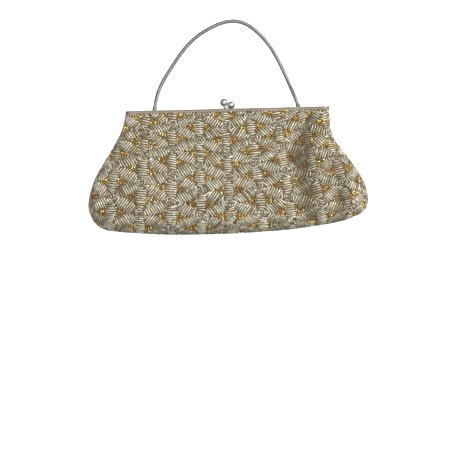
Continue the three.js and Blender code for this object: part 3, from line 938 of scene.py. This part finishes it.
# Cloth under the beads: the panel's outer face moved in, down to the inner face of the CAD panel
def plan_point(across, down):
    """Where shares across and down a panel lie, seen from the front."""
    across, down = np.broadcast_arrays(across, down)
    left = seam.at(down * left_corner)
    right = seam.at(mix(1, right_corner, down))
    level = mix(seam.at(left_corner), seam.at(right_corner), across[:, None])
    bend = seam.at(mix(left_corner, right_corner, across)) - level
    return mix(left, right, across[:, None]) + bend * down[:, None]


def eased(count, edge_share, edge_steps):
    """Shares from 0 to 1 that lie close together at both ends."""
    ring = 1 - np.cos(np.linspace(0, math.pi / 2, edge_steps + 1)[:-1])
    middle = np.linspace(edge_share, 1 - edge_share, count)
    return np.concatenate([edge_share * ring, middle, 1 - (edge_share * ring)[::-1]])


CLOTH_OUT = 1.42
CLOTH_SHY = 0.05
PATCH_INSET = 0.7
CLOTH_COLUMNS = 110
CLOTH_ROWS = 52
CLOTH_EDGE_STEPS = 9
CLOTH_SIDE_SHARE = 0.07
CLOTH_END_SHARE = 0.14
CLOTH_TOP_ROWS = [0.0, 0.008, 0.016]
CLOTH_FIRST_ROW = 0.02
CLOTH_RIM = 0.12
CLOTH_RIM_INSET = 0.02
CLOTH_NORMAL_INSET = 0.3
PATCH_STEPS = 15
PATCH_REACH = 1.15
WRINKLE_HEIGHT = 0.12
WRINKLE_RUN = (1.9, 0.8)


def cloth_grid(panel, inset):
    columns = eased(CLOTH_COLUMNS, CLOTH_SIDE_SHARE, CLOTH_EDGE_STEPS)
    rows = eased(CLOTH_ROWS, CLOTH_END_SHARE, CLOTH_EDGE_STEPS)
    rows = np.concatenate([CLOTH_TOP_ROWS, rows[rows > CLOTH_FIRST_ROW]])
    down, across = (v.ravel() for v in np.meshgrid(rows, columns, indexing="ij"))
    plan = plan_point(across, down)
    distance, foot, inward = from_seam(plan)
    on_seam = distance < CLOTH_RIM
    plan = np.where(on_seam[:, None], foot + inward * CLOTH_RIM_INSET, plan)
    near = (distance < CLOTH_NORMAL_INSET)[:, None]
    normals = panel.normal(np.where(near, foot + inward * CLOTH_NORMAL_INSET, plan))
    flat_out = np.column_stack([-inward, np.zeros(len(plan))])
    normals = np.where(on_seam[:, None], flat_out, normals)
    normals[down == 0, 1] = 0
    normals = unit(normals)
    rim_height = seam_height(foot[:, 1]) + panel.facing * GAP / 2
    height = np.where(on_seam, rim_height, panel.height(plan))
    outer = np.column_stack([plan, height])
    return outer - normals * inset, len(rows), len(columns)


def satin_patch():
    """The bare satin in the gap that the lost beads leave."""
    shares = np.linspace(-PATCH_REACH, PATCH_REACH, PATCH_STEPS)
    down, across = (v.ravel() for v in np.meshgrid(shares, shares, indexing="ij"))
    flat = BARE_MIDDLE + np.column_stack([across, down]) * BARE_HALVES
    places, normals, _ = front.lay(flat)
    wrinkle = WRINKLE_HEIGHT * np.sin(flat[:, 0] * WRINKLE_RUN[0] + flat[:, 1] * WRINKLE_RUN[1])
    points = places - normals * (PATCH_INSET + wrinkle)[:, None]
    quads = grid_quads(PATCH_STEPS, PATCH_STEPS)
    make_piece("bare_satin", points, quads, pink_satin, "beading")


def sew_cloth(name, panel, node):
    outer, rows, columns = cloth_grid(panel, CLOTH_OUT)
    inner = cloth_grid(panel, PANEL_WALL - CLOTH_SHY)[0]
    flip = panel.facing > 0
    size = rows * columns
    number = np.arange(size).reshape(rows, columns)
    rim = np.concatenate([number[0], number[1:, -1], number[-1, -2::-1], number[-2:0:-1, 0]])
    after = np.roll(rim, -1)
    edge = np.stack([rim, rim + size, after + size, after], axis=1)
    faces = [grid_quads(rows, columns, flip=flip), grid_quads(rows, columns, flip=not flip) + size]
    quads = np.vstack([*faces, edge if flip else edge[:, ::-1]])
    points = np.vstack([outer, inner])
    make_piece(name, points, quads, under_cloth_painted_shade, "beading", replaced=[node])


sew_cloth("front_cloth", front, "front_panel")
sew_cloth("back_cloth", back, "back_panel")
satin_patch()

upright_rungs, sloping_rungs = ladder_rungs()
gold_spots = gold_places()
knot_spots = knot_places()
for side_name, panel, way, seed in (("front", front, (1, 1), 11), ("back", back, (-1, 1), 23)):
    rng = np.random.default_rng(seed)
    field = BeadField(FIELD_CELL)
    for kind, spots, size, glass in (
        ("gold", gold_spots, GOLD_SEED, gold_glass),
        ("silver", knot_spots, SILVER_SEED, cream_glass),
    ):
        sew_seeds(f"{side_name}_{kind}_seeds", panel, spots, way, size, glass, field, rng)
    for kind, rungs in (("upright", upright_rungs), ("sloping", sloping_rungs)):
        sew_bugles(f"{side_name}_{kind}_bugles", panel, rungs, way, field, rng)


# A twisted cord in the seam between the two panels, deeper between the beads below the hinges
CORD_ON_LEGS = 0.75
CORD_ON_BELLY = 1.7
CORD_SINKS = (0.2, 0.45)
CORD_SPAN = (0.004, 0.996)
CORD_STEPS = 1100
CORD_SIDES = 10
CORD_RADIUS = 0.62
CORD_TWIST = 2.6
CORD_RIDGE = 0.2


def seam_cord():
    shares = np.linspace(*CORD_SPAN, CORD_STEPS)
    plan = seam.at(shares)
    _, foot, inward = from_seam(plan)
    sunk = mix(CORD_ON_LEGS, CORD_ON_BELLY, smooth(CORD_SINKS, down_share(plan[:, 1])))
    plan = plan + inward * sunk[:, None]
    lie = np.column_stack([plan, seam_height(plan[:, 1])])
    twist = shares * seam.total / CORD_TWIST * 2 * math.pi
    radii = CORD_RADIUS * (1 + CORD_RIDGE * np.cos(2 * turn_of(CORD_SIDES)[None] - twist[:, None]))
    out = np.column_stack([-inward, np.zeros(len(plan))])
    make_piece("seam_cord", *tube(lie, out, radii), satin, "beading")


seam_cord()


# A satin strip under each rail, over the panel's upper edge
STRIP_STEPS = 150
STRIP_EDGE_SHARE = 0.06
STRIP_EDGE_STEPS = 12
STRIP_INSET = 0.05
STRIP_SEAM = 40

# The strip's rows: how far up they are, and how far out of the panel's face
STRIP_ROWS = [
    (-1.56, -1.2),
    (-1.55, -0.1),
    (-1.7, 0.0),
    (-2.1, 0.02),
    (-2.5, 0.0),
    (-2.72, -0.15),
    (-2.76, -1.2),
]


def mouth_strip(name, panel):
    shares = eased(STRIP_STEPS, STRIP_EDGE_SHARE, STRIP_EDGE_STEPS)
    ends = (seam_samples[:STRIP_SEAM], seam_samples[::-1][:STRIP_SEAM])
    rows = []
    for y, out in STRIP_ROWS:
        left, right = (np.interp(-y, -end[:, 1], end[:, 0]) for end in ends)
        x = mix(left + STRIP_INSET, right - STRIP_INSET, shares)
        plan = np.column_stack([x, np.full(len(x), y)])
        normals = panel.normal(plan)
        normals[:, 1] = 0
        normals = unit(normals)
        rows.append(np.column_stack([plan, panel.height(plan)]) + normals * out)
    points = np.vstack(rows)
    quads = grid_quads(len(rows), len(shares), flip=panel.facing > 0)
    make_piece(name, points, quads, satin, "beading")


mouth_strip("mouth_strip_front", front)
mouth_strip("mouth_strip_back", back)


# The snake chain: rings that sit in each other along the handle's arch
CHAIN_RADIUS = 1.45
CHAIN_REST = 0.27
CHAIN_PROUD = 0.13
CHAIN_PROUD_FREE = 0.26
CHAIN_SWELLS = (5, 9)
CHAIN_EVENING = 7
CHAIN_EVENS_OUT = (8, 30)
CHAIN_WAIST = 0.9
CHAIN_PITCH = 1.05
CHAIN_STEPS_PER_LINK = 8
CHAIN_SIDES = 16
CHAIN_WAVE = 0.16
HANDLE_HALF_SPAN = 65.3
HANDLE_RISE = 78.7
HANDLE_LEANS = {-1: -0.12, 1: 0.34}
POST_DROP = 5.25
TONGUE = 2.6
SOCKET = 6.0
SOCKET_WALL = 0.4
CHAIN_LANDING = 0.3

# The arch from left to right: shares of the handle's half span and of its rise
CHAIN_ROUTE = [
    (-0.943, 0.19),
    (-0.907, 0.273),
    (-0.864, 0.341),
    (-0.81, 0.412),
    (-0.749, 0.489),
    (-0.678, 0.573),
    (-0.596, 0.667),
    (-0.479, 0.771),
    (-0.36, 0.854),
    (-0.256, 0.905),
    (-0.153, 0.948),
    (-0.049, 0.982),
    (0.046, 0.999),
    (0.155, 0.999),
    (0.25, 0.978),
    (0.335, 0.938),
    (0.429, 0.872),
    (0.516, 0.797),
    (0.594, 0.717),
    (0.672, 0.607),
    (0.744, 0.488),
    (0.809, 0.362),
    (0.867, 0.249),
]


def along_end(side, distance):
    """A place on the straight end of the handle, at a distance from its post."""
    turn = HANDLE_LEANS[side]
    across = side * HANDLE_HALF_SPAN - math.sin(turn) * distance
    return np.array([across, -POST_DROP + math.cos(turn) * distance])


def averaged(path, spacing):
    """A path whose places are weighted means of their neighbours."""
    reach = int(3 * CHAIN_EVENING / spacing)
    offsets = np.arange(-reach, reach + 1) * spacing
    weights = np.exp(-0.5 * (offsets / CHAIN_EVENING) ** 2)
    padded = np.pad(path, ((reach, reach), (0, 0)), mode="edge")
    columns = [np.convolve(column, weights / weights.sum(), mode="valid") for column in padded.T]
    return np.column_stack(columns)


def evened(path, spacing):
    """The chain's path without the small corners of its route, unchanged near both ends."""
    even = averaged(path, spacing)
    even += averaged(path - even, spacing)
    places = np.arange(len(path)) * spacing
    from_end = np.minimum(places, places[::-1])
    return mix(path, even, smooth(CHAIN_EVENS_OUT, from_end)[:, None])


def chain_centre():
    inside = TONGUE + 2 * SOCKET_WALL + GAP
    mouth = TONGUE + SOCKET + GAP
    arch = [(x * HANDLE_HALF_SPAN, y * HANDLE_RISE) for x, y in CHAIN_ROUTE]
    ends = [along_end(-1, inside), along_end(-1, mouth), *arch, along_end(1, mouth)]
    flat = Curve([*ends, along_end(1, inside)])
    count = int(flat.total / CHAIN_PITCH * CHAIN_STEPS_PER_LINK)
    plan = evened(flat.at(np.linspace(0, 1, count)), flat.total / (count - 1))
    landed = smooth((TONGUE + SOCKET - POST_DROP, CHAIN_LANDING * HANDLE_RISE), plan[:, 1])
    return np.column_stack([plan, mix(PARTING, CHAIN_RADIUS + CHAIN_REST, landed)]), flat.total


def snake_chain():
    path, total = chain_centre()
    travel = np.linspace(0, total, len(path))
    wave = CHAIN_WAVE * np.cos(4 * turn_of(CHAIN_SIDES))
    phase = ((travel[:, None] + wave[None]) / CHAIN_PITCH) % 1.0
    swell = np.sqrt(np.clip(1 - (2 * phase - 1) ** 2, 0, 1))
    from_end = np.minimum(travel, total - travel)
    proud = mix(CHAIN_PROUD, CHAIN_PROUD_FREE, smooth(CHAIN_SWELLS, from_end))
    radii = (CHAIN_RADIUS + proud)[:, None] * mix(CHAIN_WAIST, 1, swell)
    points, quads = tube(path, UP, radii)
    make_piece("snake_chain", points, quads, chain_metal, "chain_metal", replaced=["handle_chain"])


snake_chain()


# Turned metal: clasp knobs and the caps at the chain's ends. Edges are rows of a distance from the
# end and how much less the radius is there, a neck's places are shares of its length and radius.
KNOB_RADIUS = 3.4
KNOB_NECK = 1.2
KNOB_FOOT = 1.75
KNOB_FOOT_TOP = 1.0
KNOB_OFFSET = 1.55
KNOB_LEAN = 1.0
KNOB_STEPS = 30
BALL_STARTS = 1.5
NECK_WAIST = (0.25, 0.92)
NECK_TOP = (0.3, 1.05)
NECK_SHORT = 0.5
FOOT_LOW_EDGE = [(0.0, 0.12), (0.12, 0.0)]
FOOT_HIGH_EDGE = [(0.2, 0.0), (0.06, 0.1), (0.0, 0.3)]
TURNED_SIDES = 48
LEAST_RADIUS = 0.02


def turned(start, end, profile):
    """A solid of revolution between two points. profile rows are (distance from start, radius)."""
    start = np.array(start, float)
    axis = unit(end - start)
    side = unit(np.cross(axis, UP))
    other = np.cross(axis, side)
    angles = turn_of(TURNED_SIDES)[:, None]
    ring = np.cos(angles) * side + np.sin(angles) * other
    profile = np.array(profile, float)
    points = start + profile[:, 0, None, None] * axis + profile[:, 1, None, None] * ring[None]
    return points.reshape(-1, 3), grid_quads(len(profile), TURNED_SIDES, wrap_columns=True)


def arc(centre, radius, start, stop, steps):
    """Profile points of a round: distances along the axis and radii."""
    angles = np.radians(np.linspace(start, stop, steps))
    return [(centre - radius * math.cos(a), max(radius * math.sin(a), LEAST_RADIUS)) for a in angles]


def together(*parts):
    starts = np.cumsum([0, *(len(points) for points, _ in parts)])
    quads = [part_quads + start for (_, part_quads), start in zip(parts, starts)]
    return np.vstack([points for points, _ in parts]), np.vstack(quads)


def clasp_knob(name, foot, across, rise, facing):
    seat = np.array([foot, GAP, PARTING + facing * KNOB_OFFSET])
    ball = np.array([across, rise, PARTING + facing * (KNOB_OFFSET - KNOB_LEAN)])
    reach = np.linalg.norm(ball - seat)
    start_angle = math.degrees(math.asin(KNOB_NECK * BALL_STARTS / KNOB_RADIUS))
    neck = [
        (0.0, LEAST_RADIUS),
        (0.0, KNOB_NECK),
        (reach * NECK_WAIST[0], KNOB_NECK * NECK_WAIST[1]),
        (max(reach - KNOB_RADIUS - NECK_SHORT, reach * NECK_TOP[0]), KNOB_NECK * NECK_TOP[1]),
    ]
    body = arc(reach, KNOB_RADIUS, start_angle, 180, KNOB_STEPS)
    low = (foot, GAP, seat[2])
    high = (foot, KNOB_FOOT_TOP, seat[2])
    height = KNOB_FOOT_TOP - GAP
    lower = [(along, KNOB_FOOT - less) for along, less in FOOT_LOW_EDGE]
    upper = [(height - along, KNOB_FOOT - less) for along, less in FOOT_HIGH_EDGE]
    base = [(0.0, LEAST_RADIUS), *lower, *upper, (height, LEAST_RADIUS)]
    points, quads = together(turned(seat, ball, neck + body), turned(low, high, base))
    make_piece(f"{name}_turned", points, quads, chrome, "knob_metal", replaced=[name])


clasp_knob("clasp_knob_front", -1.4, -2.9, 5.9, 1)
clasp_knob("clasp_knob_back", 3.4, 3.4, 3.5, -1)

# Caps: a turned socket for the chain, and a flat tongue with a hole for the frame's post
CAP_BORE = CHAIN_RADIUS + GAP / 2
CAP_RADIUS = CAP_BORE + SOCKET_WALL
CAP_ROUND = 0.25
CAP_MOUTH = [(1.3, 0.0), (1.2, 0.12), (1.0, 0.12), (0.9, 0.0), (0.2, 0.0), (0.0, 0.15)]
TONGUE_HALF = 1.9
TONGUE_HOLE = 1.1
TONGUE_THICKNESS = 1.2
TONGUE_STEPS = 40
FLANK_FROM = 0.4
FLANK_WIDER = 1.1
FLANK_LIMIT = CAP_RADIUS * 0.92


def tongue_plate(side):
    """The flat end of a cap: a drilled round plate with straight flanks that run into the socket."""
    turn = HANDLE_LEANS[side]
    angles = turn_of(TONGUE_STEPS)
    circle = np.stack([np.cos(angles), np.sin(angles)], axis=1)
    outline = TONGUE_HALF * circle
    upper = outline[:, 1] > FLANK_FROM
    outline[upper, 1] = TONGUE + SOCKET_WALL
    outline[upper, 0] = np.clip(outline[upper, 0] * FLANK_WIDER, -FLANK_LIMIT, FLANK_LIMIT)
    hole = TONGUE_HOLE * circle
    half = TONGUE_THICKNESS / 2
    rings = [(hole, -half), (outline, -half), (outline, half), (hole, half)]
    axis = np.array([-math.sin(turn), math.cos(turn)])
    right = np.array([math.cos(turn), math.sin(turn)])
    post = along_end(side, 0)
    points = []
    for flat, height in rings:
        plan = post + flat[:, :1] * right + flat[:, 1:] * axis
        points.append(np.column_stack([plan, np.full(TONGUE_STEPS, PARTING + height)]))
    return np.vstack(points), grid_quads(len(rings), TONGUE_STEPS, wrap_rows=True, wrap_columns=True)


def end_cap(name, side):
    start = np.append(along_end(side, TONGUE), PARTING)
    end = np.append(along_end(side, TONGUE + SOCKET), PARTING)
    profile = [
        (0.0, LEAST_RADIUS),
        (0.0, CAP_RADIUS - CAP_ROUND),
        (CAP_ROUND, CAP_RADIUS),
        *[(SOCKET - along, CAP_RADIUS - less) for along, less in CAP_MOUTH],
        (SOCKET, CAP_BORE),
        (2 * SOCKET_WALL, CAP_BORE),
        (2 * SOCKET_WALL, LEAST_RADIUS),
    ]
    points, quads = together(turned(start, end, profile), tongue_plate(side))
    make_piece(f"{name}_turned", points, quads, chain_metal, "chain_metal", replaced=[name])


end_cap("handle_cap_left", -1)
end_cap("handle_cap_right", 1)


# The frame's halves and rivets keep their solids and only get their metal
for node_name in ("frame_front", "frame_back", "hinge_rivet_left", "hinge_rivet_right"):
    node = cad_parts[node_name]
    node.data.materials.clear()
    node.data.materials.append(nickel)


# Table, lights and the air around them
FLOOR_HALF = 3.0
FLOOR_GLOW = 0.75
WALL_PROFILE = [(2.6, 0.001), (2.75, 0.03), (2.88, 0.12), (2.96, 0.3), (3.0, 0.6), (3.0, 4.0)]
WALL_SIDES = 96
WALL_GLOW = 1.0
SKY_SHADES = [(0.0, 0.26), (0.12, 0.14), (0.5, 0.3), (0.85, 1.0)]
SKY_STRENGTH = 0.9


def paper_look(name, glow):
    look = Look(name)
    grain = look.noise(4.0, detail=2.0)
    colour = look.ramp(grain, [(0.2, (246, 246, 246)), (0.8, (250, 250, 250))])
    look.set(Base_Color=colour, Roughness=0.9, Emission_Color=(1, 1, 1, 1), Emission_Strength=glow)
    return look.material


def make_stage(name, points, faces, glow):
    """A pale surface that is there for the picture only."""
    mesh = bpy.data.meshes.new(name)
    mesh.from_pydata(points, [], faces)
    mesh.materials.append(paper_look(f"{name}_paper", glow))
    surface = added(name, mesh)
    surface.visible_diffuse = False
    surface.visible_glossy = False
    return surface


def make_floor():
    corners = [(-1, -1), (1, -1), (1, 1), (-1, 1)]
    points = [(x * FLOOR_HALF, y * FLOOR_HALF, 0) for x, y in corners]
    make_stage("table", points, [(0, 1, 2, 3)], FLOOR_GLOW)


def make_light(name, place, size, power, warmth=(1, 1, 1)):
    data = bpy.data.lights.new(name, "AREA")
    data.size = size
    data.energy = power
    data.color = warmth
    light = added(name, data)
    light.location = place
    aim = -np.array(place) / np.linalg.norm(place)
    yaw = math.atan2(aim[1], aim[0])
    tilt = math.acos(-aim[2])
    light.rotation_euler = (0, -tilt, yaw)


def make_backdrop():
    """A round pale wall that rises from the table, seen only behind the purse."""
    angles = turn_of(WALL_SIDES)
    ring = np.stack([np.cos(angles), np.sin(angles), np.zeros(WALL_SIDES)], axis=1)
    points = np.vstack([radius * ring + (0, 0, height) for radius, height in WALL_PROFILE])
    quads = grid_quads(len(WALL_PROFILE), WALL_SIDES, wrap_columns=True)
    wall = make_stage("backdrop", points.tolist(), quads.tolist(), WALL_GLOW)
    wall.visible_shadow = False


make_floor()
make_backdrop()
make_light("key", (1.2, 0.6, 1.1), 0.4, 34, (1.0, 0.98, 0.95))
make_light("fill", (-0.9, 0.4, 1.2), 0.8, 6)
make_light("front", (0.1, -0.7, 1.4), 0.6, 6)

world = bpy.data.worlds.new("studio")
world.use_nodes = True
air = world.node_tree
sky_place = air.nodes.new("ShaderNodeTexCoord")
sky_axes = air.nodes.new("ShaderNodeSeparateXYZ")
sky_ramp = air.nodes.new("ShaderNodeValToRGB")
air.links.new(sky_place.outputs["Generated"], sky_axes.inputs[0])
air.links.new(sky_axes.outputs["Z"], sky_ramp.inputs["Fac"])
air.links.new(sky_ramp.outputs["Color"], air.nodes["Background"].inputs["Color"])
fill_ramp(sky_ramp, [(height, (shade, shade, shade)) for height, shade in SKY_SHADES])
air.nodes["Background"].inputs["Strength"].default_value = SKY_STRENGTH
scene = bpy.context.scene
scene.world = world
scene.view_settings.view_transform = "Standard"
